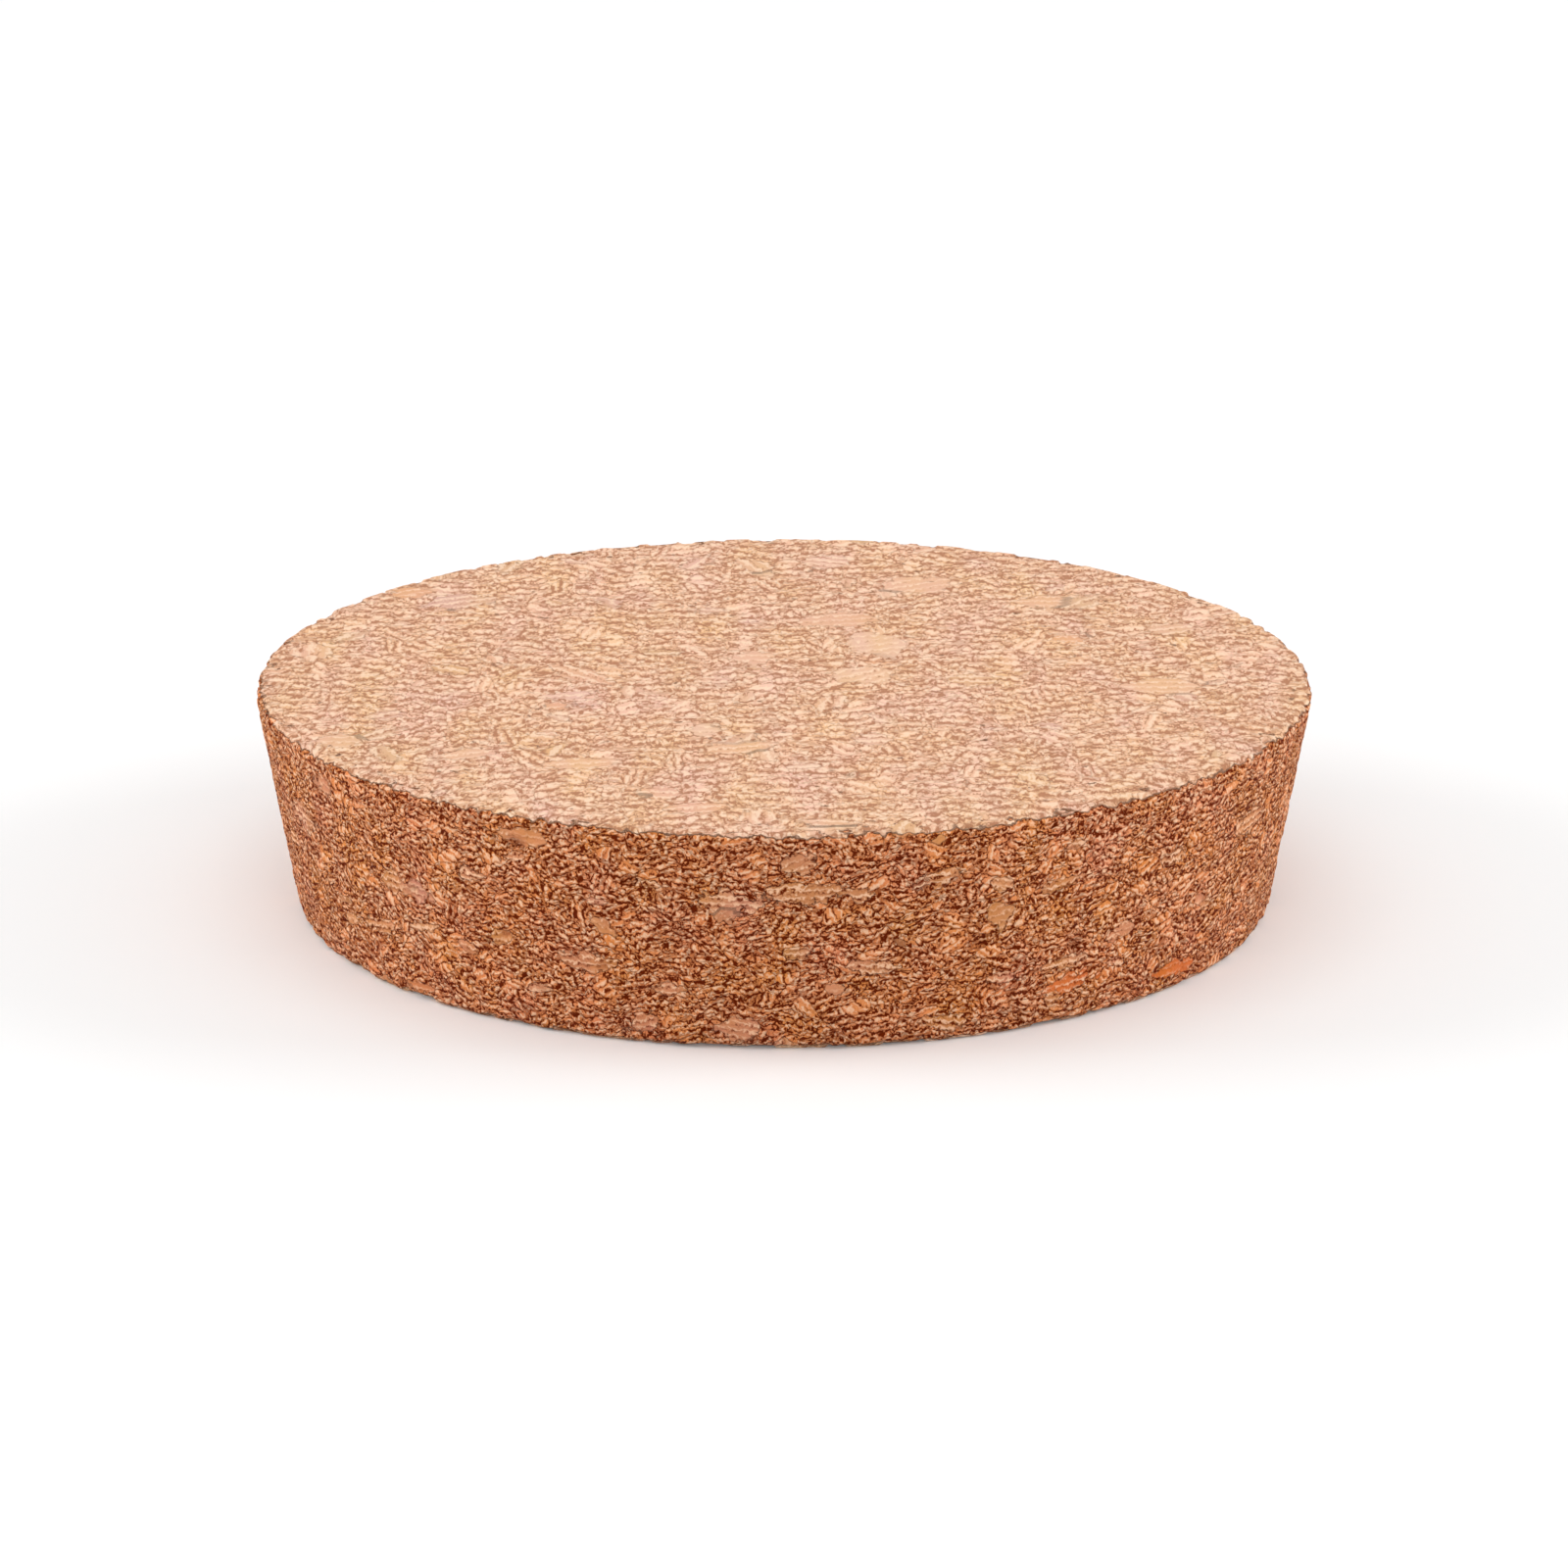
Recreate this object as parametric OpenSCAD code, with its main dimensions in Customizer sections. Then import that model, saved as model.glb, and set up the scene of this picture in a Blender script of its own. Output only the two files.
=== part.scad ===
/* [Ends] */
// Diameter of the wide end, over its rim
top_d = 70; // [55:0.5:100]
// Diameter of the narrow end, which goes into the jar first
bottom_d = 65; // [50:0.5:95]
// Height between the two flat faces
height = 15; // [10:0.5:40]

/* [Rims] */
// Radius ground onto the wide rim
top_round = 0.5; // [0.2:0.1:1.5]
// Radius ground onto the narrow rim
bottom_round = 0.7; // [0.2:0.1:1.5]

/* [Torn granules] */
// Number of granules torn out of the ground side
pit_count = 100; // [0:1:140]
// Number of granules broken off the wide rim
top_nicks = 44; // [0:1:60]
// Number of granules broken off the narrow rim
bottom_nicks = 24; // [0:1:60]
// Width of the smallest torn granule
granule_min = 0.7; // [0.5:0.1:1.2]
// Width of the largest torn granule
granule_max = 2; // [1.4:0.1:4]
// Height of a granule for each millimetre of its width, flattened by the press
granule_flat = 0.6; // [0.4:0.05:1]
// Depth of the deepest pit in the side
pit_depth = 0.4; // [0.2:0.05:1]
// Depth of the deepest nick, measured into the rim
nick_depth = 0.3; // [0.2:0.05:0.9]

/* [Hidden] */

cork = [0.80, 0.55, 0.37];

// Each rim is an arc, and the side is the straight line that touches both arcs.
top_centre = [top_d / 2 - top_round, height - top_round];
bottom_centre = [bottom_d / 2 - bottom_round, bottom_round];
rise = top_centre - bottom_centre;
// Direction that the side faces, in degrees above the horizontal; a taper makes it negative.
side_facing = atan2(rise.y, rise.x) - acos((bottom_round - top_round) / norm(rise));
side_bottom = bottom_centre + bottom_round * facing(side_facing);
side_top = top_centre + top_round * facing(side_facing);

arc_steps = 5;
side_count = 144;
// Successive pits turn by this angle, which spreads them evenly round the side.
golden_angle = 137.508;
// Share of the side's height, at each end, that the rims take and the pits leave free.
pit_margin = 0.08;
// Smallest depth of a pit or nick, as a share of the deepest.
shallowest = 0.4;
// How far a granule's outline wanders from a true oval, as a share of its radius.
raggedness = 0.3;
// How far round from its even place a nick may lie, as a share of the spacing.
nick_scatter = 0.8;
// Greatest tilt of a pit's floor, in degrees.
floor_tilt = 14;
// How far a cutter stands clear of the surface that it cuts.
clear = 0.6;

function facing(angle) = [cos(angle), sin(angle)];
function arc(centre, radius, from, to) =
    [for (i = [0 : arc_steps]) centre + radius * facing(from + (to - from) * i / arc_steps)];
// A number from 0 to 1 that looks random and is the same every time.
function chance(i, salt) = let (v = sin(i * 78.233 + salt * 37.719) * 4375.85) v - floor(v);
function between(low, high, share) = low + (high - low) * share;
// Small granules are far more common than large ones.
function granule_width(i, salt) = between(granule_min, granule_max, pow(chance(i, salt), 2));

// Angular outline of one granule, width across and granule_flat times as tall.
function granule_outline(i, width) =
    let (corners = 5 + floor(3 * chance(i, 11)))
    [for (k = [0 : corners - 1])
        let (reach = width / 2 * (1 - raggedness * chance(i * 9 + k, 12)),
             turn = 360 * (k + 0.5 * chance(i, 13)) / corners)
        [reach * cos(turn), granule_flat * reach * sin(turn)]];

// Stands a cutter on the surface at a point of the profile, with its local Z facing outwards.
module on_surface(point, outward, around)
    rotate([0, 0, around])
        translate([point.x, 0, point.y])
            rotate([0, 90 - outward, 0])
                rotate([0, 0, 90])
                    children();

// The hollow that a torn granule leaves: its own outline, sunk to a floor that is seldom level.
module torn_granule(i, width, depth, reach)
    rotate([floor_tilt * (2 * chance(i, 14) - 1), floor_tilt * (2 * chance(i, 15) - 1), 0])
        translate([0, 0, -depth])
            linear_extrude(height = depth + reach)
                polygon(granule_outline(i, width));

module side_pits()
    for (i = [0 : 1 : pit_count - 1])
        let (up = pit_margin + (1 - 2 * pit_margin) * (i + chance(i, 1)) / pit_count,
             depth = pit_depth * between(shallowest, 1, chance(i, 2)))
        on_surface(between(side_bottom, side_top, up), side_facing, golden_angle * i)
            torn_granule(i, granule_width(i, 3), depth, clear);

module rim_nicks(count, centre, radius, outward, salt)
    for (i = [0 : 1 : count - 1])
        let (around = 360 / count * (i + nick_scatter * (chance(i, salt) - 0.5)),
             depth = nick_depth * between(shallowest, 1, chance(i, salt + 1)))
        on_surface(centre + radius * facing(outward), outward, around)
            torn_granule(i + salt, granule_width(i, salt + 2), depth, clear);

// The ground plug before any granule is lost: one profile turned about Z.
module plug()
    rotate_extrude($fn = side_count)
        polygon(concat([[0, 0]],
                       arc(bottom_centre, bottom_round, -90, side_facing),
                       arc(top_centre, top_round, side_facing, 90),
                       [[0, height]]));

module stopper()
    color(cork)
        difference() {
            plug();
            side_pits();
            rim_nicks(top_nicks, top_centre, top_round, (90 + side_facing) / 2, 21);
            rim_nicks(bottom_nicks, bottom_centre, bottom_round, (side_facing - 90) / 2, 31);
        }

stopper();
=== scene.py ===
import math
import bpy
import numpy as np
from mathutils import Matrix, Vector


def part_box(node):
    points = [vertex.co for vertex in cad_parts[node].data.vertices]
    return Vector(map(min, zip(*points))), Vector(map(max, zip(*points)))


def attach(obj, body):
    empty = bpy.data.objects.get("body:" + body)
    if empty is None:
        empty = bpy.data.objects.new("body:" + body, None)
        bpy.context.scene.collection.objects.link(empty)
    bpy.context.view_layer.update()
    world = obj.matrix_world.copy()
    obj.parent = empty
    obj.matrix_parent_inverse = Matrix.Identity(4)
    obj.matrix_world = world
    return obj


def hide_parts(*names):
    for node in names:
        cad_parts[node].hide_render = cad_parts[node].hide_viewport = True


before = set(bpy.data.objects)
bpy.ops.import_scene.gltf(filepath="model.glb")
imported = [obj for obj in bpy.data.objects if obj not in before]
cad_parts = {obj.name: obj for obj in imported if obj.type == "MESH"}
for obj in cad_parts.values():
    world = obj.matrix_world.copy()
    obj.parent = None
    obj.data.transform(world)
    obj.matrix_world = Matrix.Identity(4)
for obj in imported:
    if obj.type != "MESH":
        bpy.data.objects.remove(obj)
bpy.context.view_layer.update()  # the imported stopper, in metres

mm = 0.001
lowCorner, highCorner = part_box("stopper")
height = highCorner.z / mm
topRadius = round(highCorner.x / mm, 1)  # over the wide rim

# The ground plug, in millimetres. Its profile runs from the middle of the narrow face, round the
# narrow rim, up the tapered side, round the wide rim and back to the middle of the wide face.
plugShape = {
    "bottomRadius": 32.5,  # over the narrow rim
    "topRound": 0.5,  # radius ground onto the wide rim
    "bottomRound": 0.7,  # radius ground onto the narrow rim
    "columns": 864,  # net lines round the side, a multiple of 16
    "sideSpacing": 0.25,  # distance of the net's rows on the side
    "rimSpacing": 0.16,  # the same round the rims
    "faceBand": 3.0,  # width of the band along each flat face's edge that keeps all columns
    "faceRows": 8,  # rows in that band
    "flatGap": 1.0,  # room between the parts of the flat picture of the surface
}


# Radius, height and facing angle along the band from the narrow face's edge to the wide one's. Each
# rim is an arc about its own centre, and the side is the line that touches both arcs: its facing is
# the angle of the line of centres, less the arc cosine of the radii's difference over the centres'
# distance.
def plugProfile():
    s = plugShape
    topCentre = np.array([topRadius - s["topRound"], height - s["topRound"]])
    bottomCentre = np.array([s["bottomRadius"] - s["bottomRound"], s["bottomRound"]])
    rise = topCentre - bottomCentre
    lean = math.acos((s["bottomRound"] - s["topRound"]) / np.hypot(*rise))
    sideFacing = math.atan2(rise[1], rise[0]) - lean

    def arc(centre, radius, start, stop):
        steps = round(radius * (stop - start) / s["rimSpacing"])
        turn = np.linspace(start, stop, steps + 1)
        return np.c_[centre[0] + radius * np.cos(turn), centre[1] + radius * np.sin(turn), turn]

    bottomArc = arc(bottomCentre, s["bottomRound"], -math.pi / 2, sideFacing)
    topArc = arc(topCentre, s["topRound"], sideFacing, math.pi / 2)
    span = topArc[0] - bottomArc[-1]
    share = np.linspace(0, 1, round(np.hypot(span[0], span[1]) / s["sideSpacing"]) + 1)[1:-1, None]
    side = bottomArc[-1] + share * span
    # Rows on the flat bands lie closer together towards the rim.
    inward = s["faceBand"] * np.linspace(0, 1, s["faceRows"] + 1)[1:] ** 1.5
    level = np.zeros_like(inward)
    onBottom = np.c_[bottomArc[0, 0] - inward, level, level - math.pi / 2][::-1]
    onTop = np.c_[topArc[-1, 0] - inward, level + height, level + math.pi / 2]
    rims = {"sideFacing": sideFacing, "top": topCentre, "bottom": bottomCentre}
    return np.concatenate([onBottom, bottomArc, side, topArc, onTop]), rims


# Points and outward normals of the profile turned about Z: (r cos a, r sin a, z).
def turnedBand(profile):
    angle = np.arange(plugShape["columns"]) * 2 * math.pi / plugShape["columns"]
    radius, level, facing = (profile[:, k, None] for k in range(3))
    flat = np.ones_like(angle)
    points = np.stack([radius * np.cos(angle), radius * np.sin(angle), level * flat], -1)
    slope = np.cos(facing)
    normals = np.stack([slope * np.cos(angle), slope * np.sin(angle), np.sin(facing) * flat], -1)
    return points.reshape(-1, 3), normals.reshape(-1, 3)


# A flat disc, as a square net bent round: the point (a, b) of the square goes to the radius
# max(|a|, |b|), and to an angle of pi/4 times the smaller over the larger from its own side. Also
# the order of the net's edge points by angle, from angle 0.
def faceDisc(radius, level, up):
    n = plugShape["columns"] // 8
    a, b = np.meshgrid(np.linspace(-1, 1, n + 1), np.linspace(-1, 1, n + 1), indexing="ij")
    wide = abs(a) >= abs(b)
    larger, smaller = np.where(wide, a, b), np.where(wide, b, a)
    lean = math.pi / 4 * smaller / np.where(larger == 0, 1, larger)
    along, across = larger * np.cos(lean), larger * np.sin(lean)
    x, y = np.where(wide, along, across), np.where(wide, across, along)
    points = np.stack([radius * x, radius * y, np.full_like(x, level)], -1).reshape(-1, 3)
    normals = np.tile([0.0, 0.0, up], (len(points), 1))
    index = np.arange((n + 1) ** 2).reshape(n + 1, n + 1)
    edge = np.concatenate([index[n, :n], index[n:0:-1, n], index[0, n:0:-1], index[:n, 0]])
    quads = np.stack([index[:-1, :-1], index[1:, :-1], index[1:, 1:], index[:-1, 1:]], -1)
    return points, normals, np.roll(edge, -n // 2), quads.reshape(-1, 4)


# Joins the turned band and the two discs into one closed net. Between the band's edge and a disc,
# two columns of the band meet one edge point of the disc, with a triangle and a quad.
def plugNet():
    profile, rims = plugProfile()
    columns = plugShape["columns"]
    points, normals = turnedBand(profile)
    index = np.arange(len(points)).reshape(-1, columns)
    beside = np.roll(index, -1, axis=1)
    quads = [np.stack([index[:-1], beside[:-1], beside[1:], index[1:]], -1).reshape(-1, 4)]
    triangles = []
    for row, level, up in ((0, 0.0, -1), (-1, height, 1)):
        step = 2 * math.pi * profile[row, 0] / columns
        discPoints, discNormals, edge, discQuads = faceDisc(profile[row, 0] - 2 * step, level, up)
        inner = edge + len(points)
        even, odd = index[row, 0::2], index[row, 1::2]
        triangle = np.stack([even, odd, inner], -1)
        quad = np.stack([odd, np.roll(even, -1), np.roll(inner, -1), inner], -1)
        triangles.append(triangle[:, ::up])
        quads += [quad[:, ::up], (discQuads + len(points))[:, ::up]]
        points = np.concatenate([points, discPoints])
        normals = np.concatenate([normals, discNormals])
    return points, normals, np.concatenate(quads), np.concatenate(triangles), profile, rims


# Where the flat picture of the surface lies, for each corner of each face: the two faces side by
# side, and below them the side cut in two halves and unrolled, by the arc length up the profile.
def flatPlaces(points, quads, triangles, profile):
    columns, gap = plugShape["columns"], plugShape["flatGap"]
    sheet = 2 * topRadius + 2 * plugShape["bottomRadius"] + 3 * gap
    top, bottom = topRadius, plugShape["bottomRadius"]
    corners = np.concatenate([quads.ravel(), triangles.ravel()])
    u = np.where(points[corners, 2] > height / 2, gap + top, 2 * (gap + top) + bottom)
    v = sheet - gap - top + points[corners, 1]
    u = u + np.where(points[corners, 2] > height / 2, 1, -1) * points[corners, 0]
    bandRows = len(profile) - 1 - 2 * plugShape["faceRows"]
    first = plugShape["faceRows"] * columns
    side = slice(first * 4, (first + bandRows * columns) * 4)
    column = corners[side] % columns
    start = np.repeat(np.arange(first, first + bandRows * columns) % columns, 4)
    column = np.where((column == 0) & (start > 0), columns, column)
    half = 2 * start >= columns
    climbed = np.r_[0, np.cumsum(np.hypot(*np.diff(profile[:, :2], axis=0).T))]
    climbed = (climbed - climbed[plugShape["faceRows"]])[corners[side] // columns]
    stride = (sheet - 2 * gap) * 2 / columns
    u[side] = gap + (column - half * columns / 2) * min(stride, 2 * math.pi * top / columns)
    v[side] = gap + half * (climbed.max() + gap) + climbed
    return np.stack([u, v], -1) / sheet


# Where each granule lies. The mesh and the material read the same field of granules.
granuleField = {
    "fine": 0.6,  # width of the crumbs, which only the material shows
    "medium": 1.25,
    "pressed": 0.66,  # height of a granule for each millimetre of its width
    "bends": (  # a slow and a quick bend: waves a millimetre, reach, turn about X, Y and Z
        (1.7, 0.30, (0.5, 0.9, 0.2)),
        (5.0, 0.09, (1.1, 0.3, 0.7)),
    ),
}


# Turn about X, then Y, then Z, as a Mapping node does.
def turnMatrix(turns):
    (cx, cy, cz), (sx, sy, sz) = np.cos(turns), np.sin(turns)
    aboutX = np.array([[1, 0, 0], [0, cx, -sx], [0, sx, cx]])
    aboutY = np.array([[cy, 0, sy], [0, 1, 0], [-sy, 0, cy]])
    aboutZ = np.array([[cz, -sz, 0], [sz, cz, 0], [0, 0, 1]])
    return aboutZ @ aboutY @ aboutX


# Bends the field of granules out of its straight order: adds reach times the sine of the turned and
# scaled place, once slowly and once quickly, then stretches Z by 1 / pressed.
def bent(points):
    for waves, reach, turns in granuleField["bends"]:
        points = points + reach * np.sin(waves * points @ turnMatrix(turns).T)
    return points / np.array([1, 1, granuleField["pressed"]])


# Mixes three or four whole numbers into one from 0 to 1, as the Voronoi Texture node does: each
# step subtracts or flips by a neighbour's bits, rolled left by a fixed count.
def mixedBits(words):
    def rolled(x, count):
        return (x << np.uint32(count)) | (x >> np.uint32(32 - count))

    start = np.uint32(0xDEADBEEF + (len(words) << 2) + 13)
    v = [start + word for word in words[:3]]
    if len(words) == 4:
        for step, count in enumerate((4, 6, 8, 16, 19, 4)):
            i = step % 3
            v[i] = (v[i] - v[i - 1]) ^ rolled(v[i - 1], count)
            v[i - 1] = v[i - 1] + v[(i + 1) % 3]
        v[0] = v[0] + words[3]
    for step, count in enumerate((14, 11, 25, 16, 4, 14, 24)):
        i = (step + 2) % 3
        v[i] = (v[i] ^ v[i - 1]) - rolled(v[i - 1], count)
    return v[2] / np.float64(0xFFFFFFFF)


# Three numbers from 0 to 1 for each cell, which are also the place of its point in it.
def cellNumbers(cells):
    words = [(cells[:, k] + 0.0).astype(np.float32).view(np.uint32) for k in range(3)]
    one, two = (np.full(len(cells), w, np.float32).view(np.uint32) for w in (1, 2))
    return np.stack([mixedBits(words), mixedBits(words + [one]), mixedBits(words + [two])], -1)


# Voronoi cells of this size: the numbers of each point's cell, and its distance to the wall, which
# is the least distance to the planes halfway to the neighbours.
def granuleCells(points, size):
    place = points / size
    base = np.floor(place)
    offsets = np.stack(np.meshgrid(*[[-1, 0, 1]] * 3, indexing="ij"), -1).reshape(-1, 3)
    numbers = np.stack([cellNumbers(base + offset) for offset in offsets])
    away = numbers + offsets[:, None] - (place - base)
    nearest = (away ** 2).sum(2).argmin(0), np.arange(len(points))
    across = away - away[nearest]
    length = np.sqrt((across ** 2).sum(2))
    length[nearest] = 1
    halfway = ((away + away[nearest]) / 2 * across).sum(2) / length
    halfway[nearest] = np.inf  # a cell has no wall with itself
    return numbers[nearest], halfway.min(0) * size


# An eased step from 0 at low to 1 at high: 3 t squared less 2 t cubed, for t from 0 to 1 between.
def smoothStep(low, high, x):
    t = np.clip((x - low) / (high - low), 0, 1)
    return t * t * (3 - 2 * t)


# Relief of the surface, in millimetres below the ground plug.
relief = {
    "side": 0.11,  # how much lower than the others a granule may lie on the side
    "sideFrom": (0.15, 0.9),  # how level a normal is where that begins and where it is full
    "face": 0.015,  # the same on the two sanded faces
    "rim": 0.16,  # the same on the rims, where granules break away
    "rimReach": 0.5,  # how far from a rim granules still break away
    "gap": 0.06,  # depth of the gap round a medium granule on the side
    "gapWidth": 0.25,  # how far from the granule's wall the gap reaches
    "brokenFrom": (0.35, 0.95),  # second numbers from which a granule breaks away, and does wholly
}


# Depth below the plug: the granule's third number, to the power 1.5, times the roughness of its
# place, and the gap along its wall. On the rims a granule with a high second number has broken
# away, and that fades with the square of the distance over rimReach.
def granuleRelief(points, normals, rims):
    numbers, wall = granuleCells(bent(points), granuleField["medium"])
    onSide = smoothStep(*relief["sideFrom"], np.hypot(normals[:, 0], normals[:, 1]))
    radius = np.hypot(points[:, 0], points[:, 1])
    nearRim = np.zeros(len(points))
    for end in ("top", "bottom"):
        away = np.hypot(radius - rims[end][0], points[:, 2] - rims[end][1]) - plugShape[end + "Round"]
        nearRim = np.maximum(nearRim, np.exp(-(away / relief["rimReach"]) ** 2))
    broken = relief["rim"] * nearRim * smoothStep(*relief["brokenFrom"], numbers[:, 1])
    rough = relief["face"] + (relief["side"] - relief["face"]) * onSide
    gap = relief["gap"] * onSide * (1 - smoothStep(0, relief["gapWidth"], wall))
    return rough * numbers[:, 2] ** 1.5 + gap + broken


# Granules torn out of the side and the rims: the same places and sizes as in the construction.
tornGranules = {
    "pits": 100,
    "topNicks": 44,
    "bottomNicks": 24,
    "smallest": 0.7,  # width of the smallest, mm
    "largest": 2.0,
    "flat": 0.6,  # height for each millimetre of width
    "pitDepth": 0.4,  # depth of the deepest pit, mm
    "nickDepth": 0.3,
    "shallowest": 0.4,  # smallest depth as a share of the deepest
    "corners": (5, 7),  # fewest and most corners of an outline
    "cornerTurn": 0.5,  # how far an outline may be turned, as a share of the corners' spacing
    "ragged": 0.3,  # how far the outline wanders inwards, as a share of its radius
    "floorTilt": 14,  # greatest tilt of a floor, degrees
    "goldenAngle": 137.508,  # turn from one pit to the next, which spreads them evenly
    "pitMargin": 0.08,  # share of the side's height that stays free of pits at each end
    "nickScatter": 0.8,  # how far a nick may lie from its even place, as a share of the spacing
    "softEdge": 0.22,  # share of a pit's reach over which its wall slopes
}


# A number from 0 to 1 that looks random: what a large sine has above its whole number.
def chance(i, salt):
    v = math.sin(math.radians(i * 78.233 + salt * 37.719)) * 4375.85
    return v - math.floor(v)


# Each torn granule as (number, point of the profile, facing, angle round, width, depth).
def tornPlaces(rims):
    t = tornGranules
    facing = math.degrees(rims["sideFacing"])

    def onRim(end, angle):
        turn = math.radians(angle)
        return rims[end] + plugShape[end + "Round"] * np.array([math.cos(turn), math.sin(turn)])

    def width(i, salt):
        return t["smallest"] + (t["largest"] - t["smallest"]) * chance(i, salt) ** 2

    def deep(deepest, i, salt):
        return deepest * (t["shallowest"] + (1 - t["shallowest"]) * chance(i, salt))

    places = []
    sideBottom, sideTop = onRim("bottom", facing), onRim("top", facing)
    for i in range(t["pits"]):
        up = t["pitMargin"] + (1 - 2 * t["pitMargin"]) * (i + chance(i, 1)) / t["pits"]
        point = sideBottom + (sideTop - sideBottom) * up
        places.append((i, point, facing, t["goldenAngle"] * i, width(i, 3), deep(t["pitDepth"], i, 2)))
    for end, count, outward, salt in (
        ("top", t["topNicks"], (90 + facing) / 2, 21),
        ("bottom", t["bottomNicks"], (facing - 90) / 2, 31),
    ):
        for i in range(count):
            around = 360 / count * (i + t["nickScatter"] * (chance(i, salt) - 0.5))
            depth = deep(t["nickDepth"], i, salt + 1)
            places.append((i + salt, onRim(end, outward), outward, around, width(i, salt + 2), depth))
    return places


# Sinks the points inside each torn granule's outline onto its tilted floor, along its own outward
# line. Inside is where the distance from its middle is under the outline's radius at that angle,
# which runs evenly from corner to corner. Also returns how deep each point sank.
def sinkTornGranules(points, places):
    t = tornGranules
    fewest, most = t["corners"]
    points = points.copy()
    sunk = np.zeros(len(points))
    for i, (radius, level), outward, around, width, depth in places:
        o, a = math.radians(outward), math.radians(around)
        out = np.array([math.cos(o) * math.cos(a), math.cos(o) * math.sin(a), math.sin(o)])
        along = np.array([-math.sin(a), math.cos(a), 0])
        up = np.cross(out, along)
        offset = points - np.array([radius * math.cos(a), radius * math.sin(a), level])
        near = np.flatnonzero((offset ** 2).sum(1) < width ** 2)
        x, y, z = offset[near] @ along, offset[near] @ up, offset[near] @ out
        corners = fewest + math.floor((most - fewest + 1) * chance(i, 11))
        turned = t["cornerTurn"] * chance(i, 13)
        turns = [2 * math.pi * (k + turned) / corners for k in range(corners)]
        reaches = [width / 2 * (1 - t["ragged"] * chance(i * 9 + k, 12)) for k in range(corners)]
        reach = np.interp(np.arctan2(y / t["flat"], x), turns, reaches, period=2 * math.pi)
        far = np.hypot(x, y / t["flat"]) / reach
        inside = 1 - smoothStep(1 - t["softEdge"], 1 + t["softEdge"], far)
        tiltX, tiltY = (math.radians(t["floorTilt"] * (2 * chance(i, k) - 1)) for k in (14, 15))
        slopeX, slopeY = math.tan(tiltY), -math.tan(tiltX) / math.cos(tiltY)
        deepest = depth / (math.cos(tiltX) * math.cos(tiltY))
        drop = np.maximum(0, z + deepest + slopeX * x + slopeY * y) * inside
        points[near] -= drop[:, None] * out
        sunk[near] = np.maximum(sunk[near], drop)
    return points, sunk


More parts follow.
